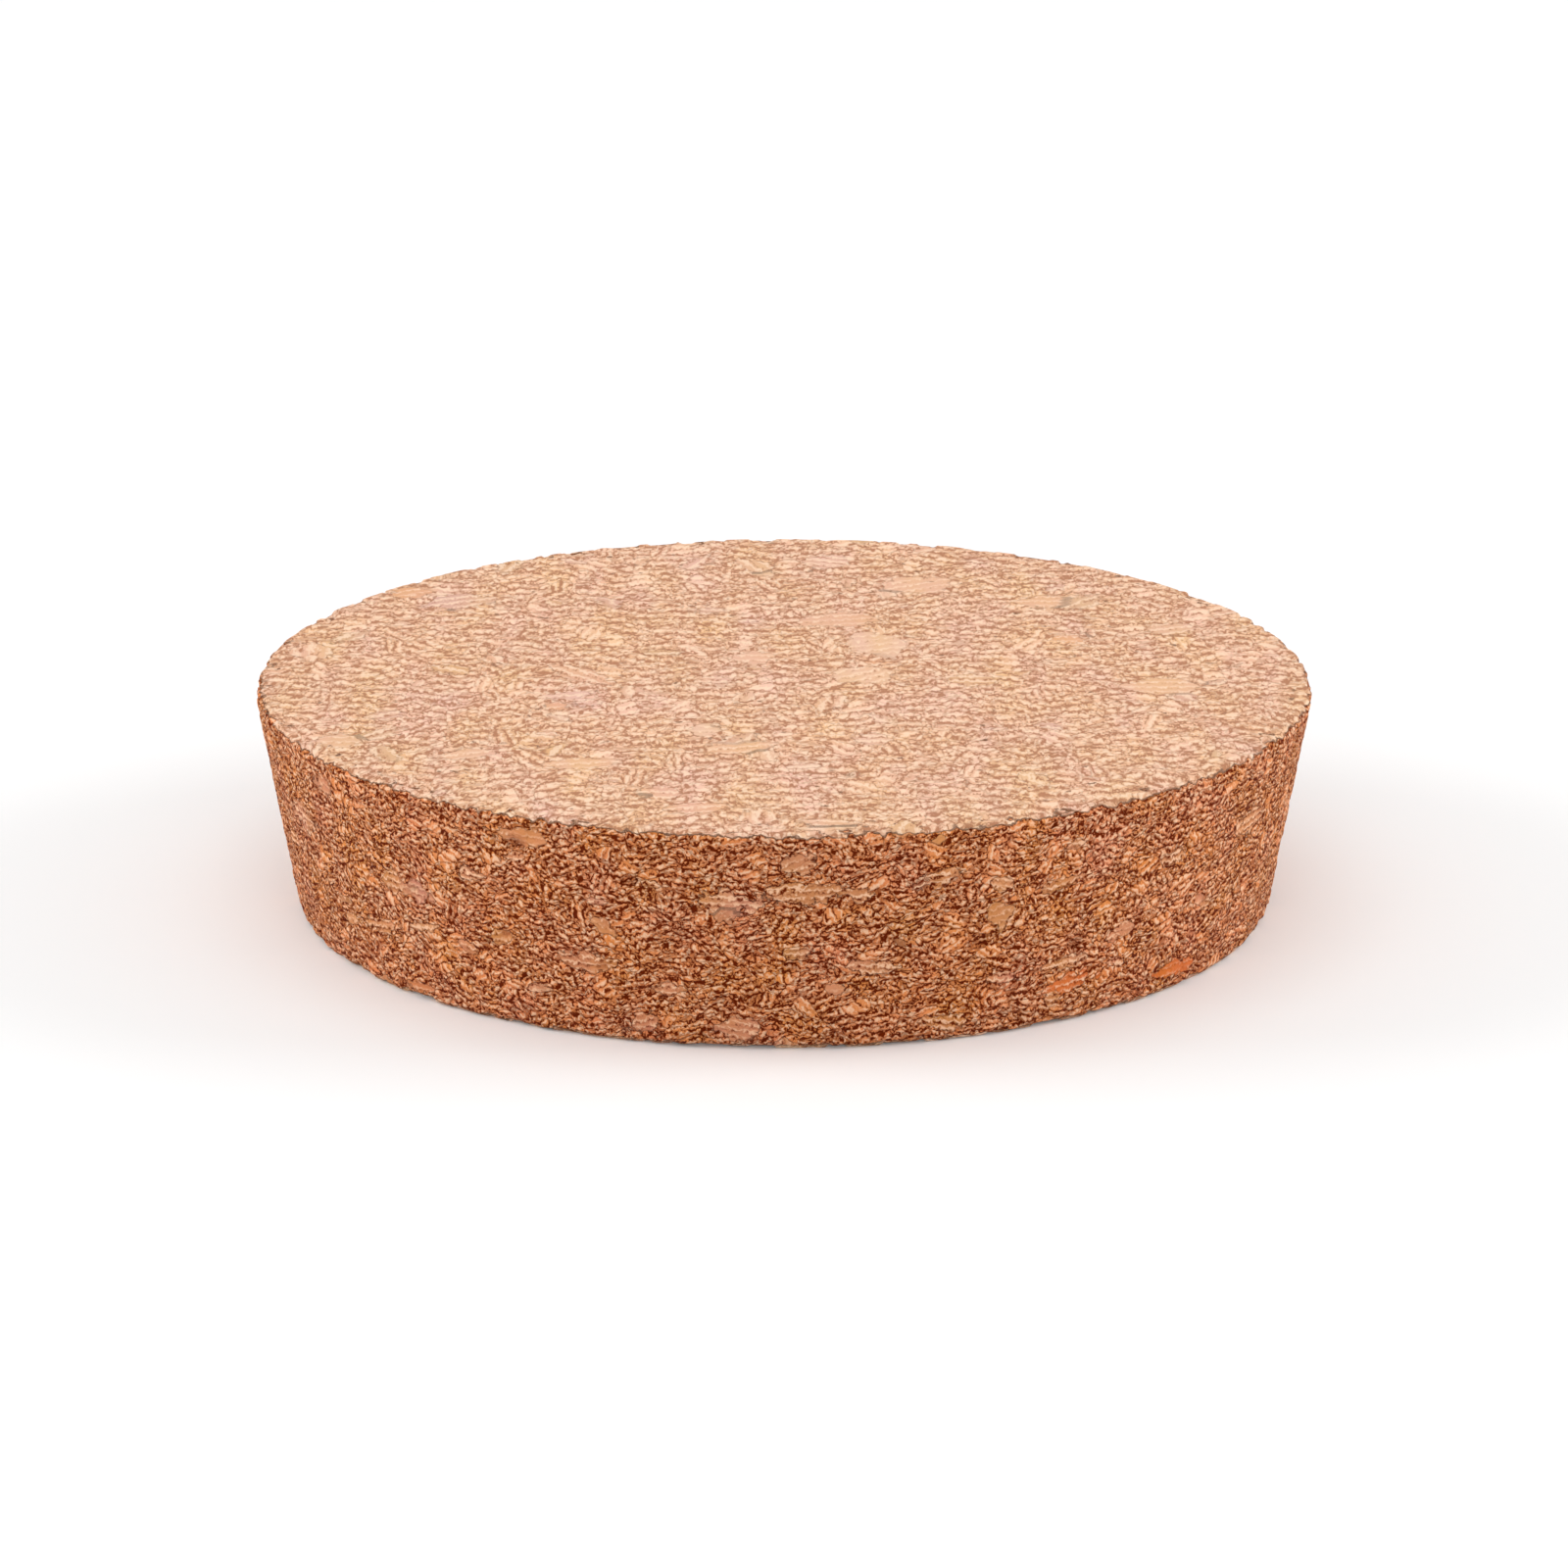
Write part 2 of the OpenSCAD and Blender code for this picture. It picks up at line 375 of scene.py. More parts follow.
# Large granules that catch the eye. On a face the place is X and Y, and on the side it is the
# angle from the front and the height. Then length, width, turn in degrees, tint and stripes.
largeGranules = {
    "top": (
        (3.8, 13.5, 6.4, 3.8, 10, "peach", 0.3),
        (6.3, 7.6, 4.0, 6.8, 20, "cream", 0.2),
        (9.3, 22.4, 5.4, 4.6, 30, "straw", 0.2),
        (5.3, 0.2, 4.6, 4.4, 40, "cream", 0.4),
        (-13.4, 0.4, 6.2, 2.6, -50, "peach", 0.8),
        (-3.0, -16.2, 5.2, 3.2, 15, "straw", 0.4),
        (25.0, -2.6, 5.6, 4.2, 0, "straw", 0.3),
        (-13.2, -19.6, 5.0, 2.6, 10, "straw", 0.3),
        (-5.2, -12.4, 2.0, 3.0, 0, "cream", 0.2),
        (19.3, 8.8, 2.8, 2.0, 0, "orange", 0.2),
        (-22.2, 18.4, 5.2, 3.8, 25, "mauve", 0.6),
        (-15.0, -6.8, 2.2, 2.2, 0, "orange", 0.2),
        (26.2, 11.2, 4.0, 3.0, 20, "rose", 0.5),
        (-14.2, -4.4, 3.6, 1.6, 15, "rose", 0.4),
        (3.2, 28.4, 3.4, 4.4, -20, "rose", 0.7),
        (-20.6, -17.6, 4.4, 2.4, 20, "straw", 0.3),
        (-28.8, -14.6, 3.2, 3.4, 0, "rose", 0.2),
        (-8.0, -26.0, 3.2, 3.2, 0, "peach", 0.5),
        (2.4, -33.4, 3.6, 1.8, 5, "cream", 0.2),
        (-2.0, 4.4, 3.0, 3.0, 0, "straw", 0.2),
        (18.4, 18.0, 4.4, 3.4, 0, "peach", 0.3),
        (17.2, 16.4, 0.9, 0.8, 0, "bark", 0.0),
        (-1.0, 25.4, 2.2, 1.6, 10, "cream", 0.0),
        (-25.6, 20.6, 3.0, 2.8, 30, "orange", 0.2),
        (6.2, 3.2, 2.2, 1.0, 0, "orange", 0.8),
        (5.6, -14.4, 3.0, 2.6, 0, "rose", 0.8),
    ),
    "side": (
        (-28.5, 13.5, 4.8, 1.3, 0, "clay", 0.3),
        (1.0, 13.0, 2.4, 1.5, 20, "amber", 0.45),
        (2.5, 10.9, 6.6, 1.4, 2, "amber", 0.6),
        (-6.5, 9.7, 2.0, 1.5, 40, "ash", 0.3),
        (23.0, 8.6, 1.8, 2.3, 20, "amber", 0.3),
        (-20.0, 8.0, 2.1, 1.0, -30, "clay", 0.2),
        (-48.0, 8.0, 2.6, 2.0, 0, "amber", 0.5),
        (5.0, 4.2, 1.3, 1.0, 0, "straw", 0.2),
        (-16.0, 1.5, 3.0, 1.4, 20, "clay", 0.5),
        (18.0, 1.3, 4.4, 1.2, -10, "amber", 0.8),
        (33.0, 2.8, 4.2, 1.4, 5, "rust", 0.6),
        (49.5, 1.5, 4.4, 1.4, 0, "rust", 0.2),
        (32.0, 4.3, 4.0, 1.0, 5, "amber", 0.8),
        (-33.0, 6.0, 2.6, 1.1, 10, "amber", 0.4),
        (14.0, 11.3, 1.6, 0.8, 20, "bark", 0.8),
        (12.0, 7.3, 1.0, 0.4, -30, "bark", 0.0),
        (30.0, 10.0, 3.0, 1.0, 10, "amber", 0.7),
        (40.0, 5.7, 2.2, 1.2, 0, "clay", 0.3),
        (-46.0, 0.9, 2.4, 0.9, 0, "orange", 0.3),
        (-59.0, 13.0, 2.2, 1.4, 0, "clay", 0.3),
        (15.5, 14.2, 1.2, 0.8, 20, "cream", 0.0),
    ),
    "scattered": 270,  # plainer ones between them, over both faces and the side
    "smallest": 1.6,  # length of the smallest plainer one, mm
    "largest": 4.6,
    "slender": (0.4, 0.35),  # width for each millimetre of length: the least, and how far above it
    "striped": (0.45, 0.5),  # stripes, in the same way
    "sidePress": 0.7,  # how much narrower they are on the side, flattened by the press
    "sideTurn": 12,  # greatest turn on the side, either way, degrees
    "sideRoom": (1.2, 1.4),  # height that stays free of their middles below and above, mm
    "skin": 0.3,  # how far off its own surface a granule still shows, mm
    "outlinePower": 1.35,  # 2 makes an oval outline and 1 a diamond
    "firmWidth": 1.7,  # granules narrower than this fray no more than one of this width
    "reach": 2.0,  # the field runs this far beyond a granule's outline, mm
}

# Tints of the granules, as a display shows them.
tints = {
    "cream": (237, 194, 165),
    "straw": (236, 188, 157),
    "peach": (234, 184, 154),
    "rose": (233, 187, 161),
    "orange": (232, 176, 141),
    "mauve": (226, 180, 156),
    "clay": (234, 187, 159),
    "amber": (228, 181, 144),
    "ash": (226, 183, 152),
    "rust": (236, 152, 102),
    "bark": (190, 143, 115),
}


# A display colour as the shader wants it: ((c / 255 + 0.055) / 1.055) to the power 2.4.
def linear(colour):
    share = np.array(colour) / 255
    return np.where(share > 0.04045, ((share + 0.055) / 1.055) ** 2.4, share / 12.92)


# The plainer large granules, spread by the golden angle: on a face the distance from the middle
# goes with the square root of the number, and on the side the height is by chance.
def scatteredGranules():
    g = largeGranules
    names = ("straw", "peach", "rose", "ash", "clay", "amber", "mauve", "cream")
    found = []
    for i in range(g["scattered"]):
        length = g["smallest"] + (g["largest"] - g["smallest"]) * chance(i, 53) ** 2
        width = length * (g["slender"][0] + g["slender"][1] * chance(i, 54))
        stripes = g["striped"][0] + g["striped"][1] * chance(i, 57)
        look = (names[math.floor(len(names) * chance(i, 56))], stripes)
        turn = tornGranules["goldenAngle"] * i
        if i % 3 == 0:
            below, above = g["sideRoom"]
            spot = (turn, below + (height - below - above) * chance(i, 51))
            tilt = g["sideTurn"] * (2 * chance(i, 55) - 1)
            found.append(("side", *spot, length, g["sidePress"] * width, tilt, *look))
        else:
            where, edge = ("top", topRadius) if i % 3 == 1 else ("bottom", plugShape["bottomRadius"])
            far = edge * math.sqrt((i + chance(i, 51)) / g["scattered"])
            spot = (far * math.cos(math.radians(turn)), far * math.sin(math.radians(turn)))
            found.append((where, *spot, length, width, 180 * chance(i, 55), *look))
    return found


# Each large granule as (middle, direction along it, direction across it, length, width, tint,
# stripes). On the side, directions are those of the cone's surface at its middle.
def largePlaces():
    taper = (topRadius - plugShape["bottomRadius"]) / height
    given = [(where, *row) for where in ("top", "side") for row in largeGranules[where]]
    places = []
    for where, u, v, length, width, turn, tint, stripes in given + scatteredGranules():
        if where == "side":
            a = math.radians(u)
            radius = plugShape["bottomRadius"] + taper * v
            middle = np.array([radius * math.sin(a), -radius * math.cos(a), v])
            along = np.array([math.cos(a), math.sin(a), 0])
            across = np.array([taper * math.sin(a), -taper * math.cos(a), 1]) / math.hypot(taper, 1)
        else:
            middle = np.array([u, v, height if where == "top" else 0.0])
            along, across = np.array([1.0, 0, 0]), np.array([0, 1.0, 0])
        c, s = math.cos(math.radians(turn)), math.sin(math.radians(turn))
        along, across = c * along + s * across, c * across - s * along
        places.append((middle, along, across, length, width, linear(tints[tint]), stripes))
    return places


# For each point, how far it lies within the nearest large granule, in millimetres and below zero
# outside: (1 - q) times half the width, or half firmWidth where that is more, less twice what the
# point lies off the granule's surface beyond its skin. Here q is the root of the sum of the powers
# of x over half the length and y over half the width. Also that granule's tint, stripes and the
# direction across it.
def largeGranuleField(points):
    reach = largeGranules["reach"]
    within = np.full(len(points), -reach)
    look = np.zeros((len(points), 4))
    across = np.zeros((len(points), 3))
    power = largeGranules["outlinePower"]
    for middle, alongIt, acrossIt, length, width, tint, stripes in largePlaces():
        near = np.flatnonzero(((points - middle) ** 2).sum(1) < (length + reach) ** 2)
        offset = points[near] - middle
        outward = np.cross(alongIt, acrossIt)
        x, y = abs(offset @ alongIt) * 2 / length, abs(offset @ acrossIt) * 2 / width
        q = (x ** power + y ** power) ** (1 / power)
        firm = max(width, largeGranules["firmWidth"]) / 2
        field = (1 - q) * firm - 2 * np.maximum(0, abs(offset @ outward) - largeGranules["skin"])
        nearer = near[field > within[near]]
        within[nearer] = field[field > within[near]]
        look[nearer] = (*tint, stripes)
        across[nearer] = acrossIt
    return within, look, across


# The net, sunk by its relief and its torn granules, as one closed mesh in metres.
def stopperMesh():
    points, normals, quads, triangles, profile, rims = plugNet()
    flat = flatPlaces(points, quads, triangles, profile)
    points = points - normals * granuleRelief(points, normals, rims)[:, None]
    points, sunk = sinkTornGranules(points, tornPlaces(rims))
    mesh = bpy.data.meshes.new("cork_stopper")
    mesh.vertices.add(len(points))
    mesh.vertices.foreach_set("co", (points * mm).ravel())
    corners = np.concatenate([quads.ravel(), triangles.ravel()])
    starts = np.r_[np.arange(len(quads)) * 4, len(quads) * 4 + np.arange(len(triangles)) * 3]
    mesh.loops.add(len(corners))
    mesh.loops.foreach_set("vertex_index", corners)
    mesh.polygons.add(len(starts))
    mesh.polygons.foreach_set("loop_start", starts)
    mesh.update(calc_edges=True)
    mesh.validate()
    mesh.shade_smooth()
    within, look, across = largeGranuleField(points)
    for name, kind, key, values in (
        # the depth of the torn pits, which the material reads for their painted shade
        ("torn", "FLOAT", "value", sunk),
        ("largeWithin", "FLOAT", "value", within),
        ("largeLook", "FLOAT_COLOR", "color", look),
        ("largeAcross", "FLOAT_VECTOR", "vector", across),
    ):
        mesh.attributes.new(name, kind, "POINT").data.foreach_set(key, values.ravel())
    mesh.uv_layers.new(name="OFBake").data.foreach_set("uv", flat.ravel())
    return mesh


# The finish of the cork. A pair is a value for the faces and one for the side, unless noted.
corkFinish = {
    "granules": (  # share of the granules up to which each tint runs, darkest first
        (0.0, (235, 187, 154)),
        (0.14, (238, 191, 159)),
        (0.45, (241, 195, 164)),
        (0.80, (244, 199, 169)),
        (1.0, (246, 203, 174)),
    ),
    "sideTone": (0.86, 0.59, 0.42),  # what a large granule's ground side keeps of the face's colour
    "crumbTone": (0.95, 0.54, 0.30),  # the same for all other granules
    "sideStart": (0.18, 0.28),  # the side's tone begins and is full this far from a face, mm
    "sideWander": 0.8,  # how far that wanders from blotch to blotch, mm
    "blotchScale": 1.3,  # waves a millimetre of the blotches that change lines and creases
    "fray": (3.2, 0.26),  # ragged walls of the granules: waves a millimetre, and reach in mm
    "largeFray": (1.3, 2.0),  # the same for the outlines of large granules
    "largeEdge": 0.05,  # width over which a large granule's outline fades in, mm
    "granuleScale": ((0.85, 0.42, 1.0), (1.0, 1.0, 1.0)),  # how fine granules are along X, Y and Z
    "mediumShare": (0.12, 0.16),  # share of the medium places that hold one medium granule
    "contrast": (0.015, 0.03),  # how far granules differ in brightness, beside their tints
    "slowScale": 0.2,  # waves a millimetre of the slow drift of brightness
    "slowRange": (0.3, 0.7),  # values of the noise between which that drift runs
    "slowTone": (0.99, 1.01),  # least and greatest brightness of that drift
    "hueScale": 0.22,  # waves a millimetre of the slow drift of hue
    "middleHue": (1.0, 0.975, 0.93),  # red, green and blue in its middle
    "hues": ((0.0, 0.115, 0.70), (0.0, 0.29, 1.30)),  # how far red, green and blue drift
    "lean": ((0.09, 1.0, 0.0), (1.0, 1.0, 3.0)),  # how far granules' layers face along X, Y and Z
    "together": (0.6, 0.5),  # share of the medium places whose crumbs have their layers in line
    "layer": ((0.6, 1.55, 1.0), (0.46, 0.46, 0.46)),  # millimetres from crease to crease, the same way
    "largeLayer": (1.1, 0.5),  # the same across a large granule
    "crumbs": ((1.5, 0.5, 0.5), (1.55, 1.55, 1.2)),  # how fine curls and grit are along X, Y and Z
    "curl": 2.2,  # waves a millimetre of the noise that bends the creases
    "curlReach": (1.4, 1.8),  # how far it bends them, in layers
    "grit": 3.0,  # waves a millimetre of the finest grit
    "wave": (1.15, 1.0),  # strength of the layers, of the curls by themselves and of the grit
    "crumble": (2.4, 2.8),
    "gritty": (0.6, 1.2),
    "domed": (0.5, 0.55),  # how much brighter a granule's middle is than its wall, as a painted highlight in the middle and painted shade at the wall
    "domeWidth": 0.16,  # how far from the wall the middle begins, mm
    "domeLevel": 0.6,  # share of that rise at which nothing changes: below it, it is darker with painted shade
    "calmRange": (0.36, 0.60),  # values of the blotches between which the creases' strength changes
    "calm": (0.9, 1.15),  # least and greatest strength of the creases
    "mediumCalm": (0.9, 0.8),  # how much of the creases shows in a medium granule
    "largeCalm": (0.45, 0.25),  # the same in a large granule without stripes
    "creaseLineShadeFrom": (-0.52, -0.26),  # a crease darkens, partly as dark line and partly as painted shade, from this height of a layer, and fully at the next
    "creaseLineShadeTo": (-1.15, -1.0),
    "creaseLineShadeShare": (0.85, 1.0),  # how much of the line colour, here partly painted shade, a full crease takes
    "crestHighlight": (0.2, 1.15),  # heights of a layer at which the painted highlight on its crest begins and is full
    # colour of the painted highlight on the crests, and how much of it a full crest takes
    "crestHighlightColour": ((255, 223, 194), (255, 202, 163)),
    "crestHighlightShare": (0.70, 1.0),
    "line": (0.06, 0.07),  # half width of the dark lines between granules, mm
    "lineRange": (0.38, 0.60),  # values of the blotches between which that width changes
    "lineWidths": (0.25, 1.5),  # least and greatest share of that width
    "linePower": 0.6,  # below 1 makes the lines firmer at their edges
    # colour of the dark lines between granules, also used for the creases' partly painted shade
    "lineAndShadeColour": ((177, 117, 84), (107, 32, 0)),
    "lineShare": (0.45, 0.5),
    "tornFrom": (0.08, 0.35),  # depths at which the painted shade in a torn pit begins and is darkest, mm
    # how much of the painted shade colour the deepest pits take, and that colour
    "tornShare": 0.3,
    "tornColour": (170, 130, 104),
    "stand": (0.01, 0.04),  # heights in mm: how far granules stand out, are round at their walls,
    "round": (0.02, 0.04),  # lean to one side and rise in each layer
    "slope": (0.03, 0.05),
    "ridge": (0.014, 0.03),
    "roundWidth": 0.14,  # how far from the wall they are round, mm
    "roughness": 1.0,
    "specular": 0.06,
    "sheen": 0.05,  # the pale bloom that a ground surface shows at its edges
    "sheenRoughness": 0.3,
}


# Adds a node, sets its options, and links or fills its inputs.
def addNode(tree, kind, inputs=(), **settings):
    made = tree.nodes.new(kind)
    for name, value in settings.items():
        setattr(made, name, value)
    for socket, value in dict(inputs).items():
        if isinstance(value, bpy.types.NodeSocket):
            tree.links.new(value, made.inputs[socket])
        else:
            made.inputs[socket].default_value = value
    return made


# The cork all through: granules of three sizes with dark lines between them, each with its tint and
# its layers, pale where it is sanded and deeper where it is ground.
def corkMaterial():
    material = bpy.data.materials.new("pressed_cork")
    material.use_nodes = True
    tree = material.node_tree
    tree.nodes.clear()
    finish = corkFinish

    def calc(operation, *values):
        return addNode(tree, "ShaderNodeMath", enumerate(values), operation=operation).outputs[0]

    def vectorCalc(operation, *values, out=0):
        made = addNode(tree, "ShaderNodeVectorMath", enumerate(values), operation=operation)
        return made.outputs[out]

    def mixed(share, a, b, blend="MIX"):
        inputs = {0: share, 6: a, 7: b}
        return addNode(tree, "ShaderNodeMix", inputs, data_type="RGBA", blend_type=blend).outputs[2]

    def mixedNumber(share, a, b):
        return addNode(tree, "ShaderNodeMix", {0: share, 2: a, 3: b}).outputs[0]

    def eased(low, high, value):
        inputs = {"Value": value, "From Min": low, "From Max": high}
        return addNode(tree, "ShaderNodeMapRange", inputs, interpolation_type="SMOOTHSTEP").outputs[0]

    def noise(vector, scale, detail=2, out="Fac"):
        inputs = {"Vector": vector, "Scale": scale, "Detail": detail}
        return addNode(tree, "ShaderNodeTexNoise", inputs).outputs[out]

    def scaled(vector, factor):
        inputs = {0: vector, "Scale": factor}
        return addNode(tree, "ShaderNodeVectorMath", inputs, operation="SCALE").outputs[0]

    def parts(vector):
        return addNode(tree, "ShaderNodeSeparateXYZ", {0: vector}).outputs

    def attribute(name, out):
        return addNode(tree, "ShaderNodeAttribute", attribute_name=name).outputs[out]

    def shade(colour):
        return (*linear(colour), 1)

    # Place in millimetres, then bent like the mesh's field of granules.
    local = addNode(tree, "ShaderNodeTexCoord").outputs["Object"]
    spot = vectorCalc("MULTIPLY", local, (1000, 1000, 1000))
    field = spot
    for waves, reach, turns in granuleField["bends"]:
        inputs = {"Vector": field, "Rotation": turns, "Scale": (waves,) * 3}
        wave = vectorCalc("SINE", addNode(tree, "ShaderNodeMapping", inputs).outputs[0])
        field = vectorCalc("MULTIPLY_ADD", wave, (reach,) * 3, field)
    # Ragged edges, finer than the mesh.
    frayScale, frayReach = finish["fray"]
    frayed = vectorCalc("SUBTRACT", noise(spot, frayScale, 2, "Color"), (0.5,) * 3)
    field = vectorCalc("MULTIPLY_ADD", frayed, (frayReach,) * 3, field)
    field = vectorCalc("MULTIPLY", field, (1, 1, 1 / granuleField["pressed"]))

    # How much of the place is ground side: 0 on the faces, 1 on the side.
    blotch = parts(noise(spot, finish["blotchScale"], 2, "Color"))
    wander = calc("SUBTRACT", blotch[0], 0.5)
    level = calc("MULTIPLY_ADD", wander, finish["sideWander"], parts(spot)[2])
    fromFace = calc("MINIMUM", level, calc("SUBTRACT", height, level))
    side = eased(*finish["sideStart"], fromFace)

    def byPlace(key):
        face, ground = finish[key]
        if np.ndim(face):
            return mixed(side, (*face, 1), (*ground, 1))
        return mixedNumber(side, face, ground)

    field = vectorCalc("MULTIPLY", field, byPlace("granuleScale"))

    # Numbers, wall distance and middle of the granule at each place: a medium one where its cell's
    # first number is within its share, else a crumb.
    def cells(size):
        inputs = {"Vector": field, "Scale": 1 / size}
        near = addNode(tree, "ShaderNodeTexVoronoi", inputs).outputs
        wall = addNode(tree, "ShaderNodeTexVoronoi", inputs, feature="DISTANCE_TO_EDGE").outputs[0]
        return near["Color"], calc("MULTIPLY", wall, size), near["Position"]

    numbers, wall, middle = cells(granuleField["fine"])
    mediumNumbers, mediumWall, mediumMiddle = cells(granuleField["medium"])
    isMedium = calc("LESS_THAN", parts(mediumNumbers)[0], byPlace("mediumShare"))
    numbers = mixed(isMedium, numbers, mediumNumbers)
    middle = mixed(isMedium, middle, mediumMiddle)
    wall = mixedNumber(isMedium, calc("MINIMUM", wall, mediumWall), mediumWall)

    # Large granules, with an outline frayed by noise.
    largeScale, largeReach = finish["largeFray"]
    ragged = calc("SUBTRACT", noise(spot, largeScale, 3), 0.5)
    within = calc("MULTIPLY_ADD", ragged, largeReach, attribute("largeWithin", "Fac"))
    isLarge = eased(0.0, finish["largeEdge"], within)
    largeWall = calc("ABSOLUTE", within)
    wall = mixedNumber(isLarge, calc("MINIMUM", wall, largeWall), largeWall)
    one, two, three = parts(numbers)

    # Colour of each granule.
    ramp = addNode(tree, "ShaderNodeValToRGB", {0: two})
    for position, tint in finish["granules"]:
        stops = ramp.color_ramp.elements
        stop = stops[0] if position == 0 else stops[-1] if position == 1 else stops.new(position)
        stop.color = shade(tint)
    colour = mixed(isLarge, ramp.outputs[0], attribute("largeLook", "Color"))
    # Brighter and darker granules, more so on the side.
    contrast = calc("MULTIPLY", byPlace("contrast"), calc("SUBTRACT", 1, isLarge))
    tone = calc("MULTIPLY_ADD", calc("MULTIPLY_ADD", three, 2, -1), contrast, 1)
    slow = parts(noise(spot, finish["slowScale"], 2, "Color"))[1]
    tone = calc("MULTIPLY", tone, mixedNumber(eased(*finish["slowRange"], slow), *finish["slowTone"]))
    # The hue drifts slowly from place to place.
    flat = vectorCalc("MULTIPLY", spot, byPlace("crumbs"))
    drift = vectorCalc("SUBTRACT", noise(flat, finish["hueScale"], 4, "Color"), (0.5,) * 3)
    drift = vectorCalc("MULTIPLY_ADD", drift, byPlace("hues"), finish["middleHue"])
    colour = vectorCalc("MULTIPLY", colour, drift)

    # Each granule has layers that run across its own direction and are bent by a noise. Each layer has
    # a crease, darkened partly as the cork's own dark line and partly as painted shade, and a painted
    # highlight on its crest.
    together = calc("LESS_THAN", parts(mediumNumbers)[2], byPlace("together"))
    lean = vectorCalc("SUBTRACT", mixed(together, numbers, mediumNumbers), (0.5,) * 3)
    lean = vectorCalc("MULTIPLY", lean, byPlace("lean"))
    lean = vectorCalc("NORMALIZE", lean)
    across = scaled(attribute("largeAcross", "Vector"), calc("DIVIDE", 1, byPlace("largeLayer")))
    across = mixed(isLarge, vectorCalc("DIVIDE", lean, byPlace("layer")), across)
    curl = noise(flat, finish["curl"], 2)
    grit = noise(flat, finish["grit"], 1)
    layer = vectorCalc("DOT_PRODUCT", spot, across, out=1)
    layer = calc("MULTIPLY_ADD", curl, byPlace("curlReach"), layer)
    wave = calc("MULTIPLY", calc("SINE", calc("MULTIPLY", layer, 2 * math.pi)), byPlace("wave"))
    wave = calc("MULTIPLY_ADD", calc("SUBTRACT", curl, 0.5), byPlace("crumble"), wave)
    wave = calc("MULTIPLY_ADD", calc("SUBTRACT", grit, 0.5), byPlace("gritty"), wave)
    # A granule's middle lifts its layers towards the painted highlight, and its wall lowers them
    # towards painted shade.
    dome = calc("SUBTRACT", eased(0.0, finish["domeWidth"], wall), finish["domeLevel"])
    wave = calc("MULTIPLY_ADD", dome, byPlace("domed"), wave)
    largeCalm = mixedNumber(attribute("largeLook", "Alpha"), byPlace("largeCalm"), 1)
    calm = mixedNumber(isLarge, 1, largeCalm)
    strength = mixedNumber(eased(*finish["calmRange"], blotch[1]), *finish["calm"])
    calm = calc("MULTIPLY", calm, strength)
    calm = calc("MULTIPLY", calm, mixedNumber(isMedium, 1, byPlace("mediumCalm")))
    wave = calc("MULTIPLY", wave, calm)
    # Darkening in each layer's crease: partly the cork's own dark line, partly painted shade.
    creaseLineShade = eased(byPlace("creaseLineShadeFrom"), byPlace("creaseLineShadeTo"), wave)
    # A painted highlight on each layer's crest.
    crestHighlight = eased(*finish["crestHighlight"], wave)
    colour = scaled(colour, tone)

    # Dark lines along the walls, broken by noise, and the creases' darkening, which is partly painted
    # shade.
    widths = mixedNumber(eased(*finish["lineRange"], blotch[2]), *finish["lineWidths"])
    width = calc("MULTIPLY", byPlace("line"), widths)
    line = calc("SUBTRACT", 1, calc("MINIMUM", 1, calc("DIVIDE", wall, width)))
    line = calc("MULTIPLY", calc("POWER", line, finish["linePower"]), byPlace("lineShare"))
    # The creases join the lines: partly dark line, partly painted shade.
    line = calc("MAXIMUM", line, calc("MULTIPLY", creaseLineShade, byPlace("creaseLineShadeShare")))
    sideTone = mixed(isLarge, (*finish["crumbTone"], 1), (*finish["sideTone"], 1))
    colour = mixed(side, colour, mixed(1, colour, sideTone, "MULTIPLY"))
    # The painted highlight's colour, laid on the crests.
    crestHighlightColour = mixed(side, *(shade(tint) for tint in finish["crestHighlightColour"]))
    colour = mixed(calc("MULTIPLY", crestHighlight, byPlace("crestHighlightShare")), colour, crestHighlightColour)
    lineAndShadeColour = mixed(side, *(shade(tint) for tint in finish["lineAndShadeColour"]))
    colour = mixed(line, colour, lineAndShadeColour)
    # Painted shade in the torn pits, darker where they sank deeper.
    torn = eased(*finish["tornFrom"], attribute("torn", "Fac"))
    torn = calc("MULTIPLY", torn, finish["tornShare"])
    colour = mixed(torn, colour, shade(finish["tornColour"]), "MULTIPLY")

    # Height of the surface in millimetres: each granule stands out by itself, is round at its walls
    # and leans its own way, and each layer has a crest.
    stand = calc("MULTIPLY", calc("SUBTRACT", one, 0.5), byPlace("stand"))
    body = calc("SUBTRACT", eased(0.0, finish["roundWidth"], wall), 1)
    body = calc("MULTIPLY", body, byPlace("round"))
    slope = vectorCalc("DOT_PRODUCT", vectorCalc("SUBTRACT", field, middle), lean, out=1)
    steep = calc("MULTIPLY", byPlace("slope"), calc("SUBTRACT", 1, isLarge))
    slope = calc("MULTIPLY", slope, steep)
    ridge = calc("MULTIPLY", wave, byPlace("ridge"))
    bumpHeight = calc("ADD", calc("ADD", stand, body), calc("ADD", slope, ridge))
    bump = addNode(tree, "ShaderNodeBump", {"Strength": 1.0, "Distance": mm, "Height": bumpHeight})

    inputs = {
        "Base Color": colour,
        "Roughness": finish["roughness"],
        "Specular IOR Level": finish["specular"],
        "Sheen Weight": finish["sheen"],
        "Sheen Roughness": finish["sheenRoughness"],
        "Normal": bump.outputs[0],
    }
    shader = addNode(tree, "ShaderNodeBsdfPrincipled", inputs)
    end = addNode(tree, "ShaderNodeOutputMaterial")
    tree.links.new(shader.outputs[0], end.inputs["Surface"])
    return material


# An object at the origin that holds this mesh, lamp or camera.
def place(name, data):
    made = bpy.data.objects.new(name, data)
    bpy.context.scene.collection.objects.link(made)
    return made


print("Building the stopper")
stopper = place("cork_stopper", stopperMesh())
stopper.data.materials.append(corkMaterial())
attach(stopper, "root")
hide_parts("stopper")
print("Stopper:", len(stopper.data.polygons), "faces")

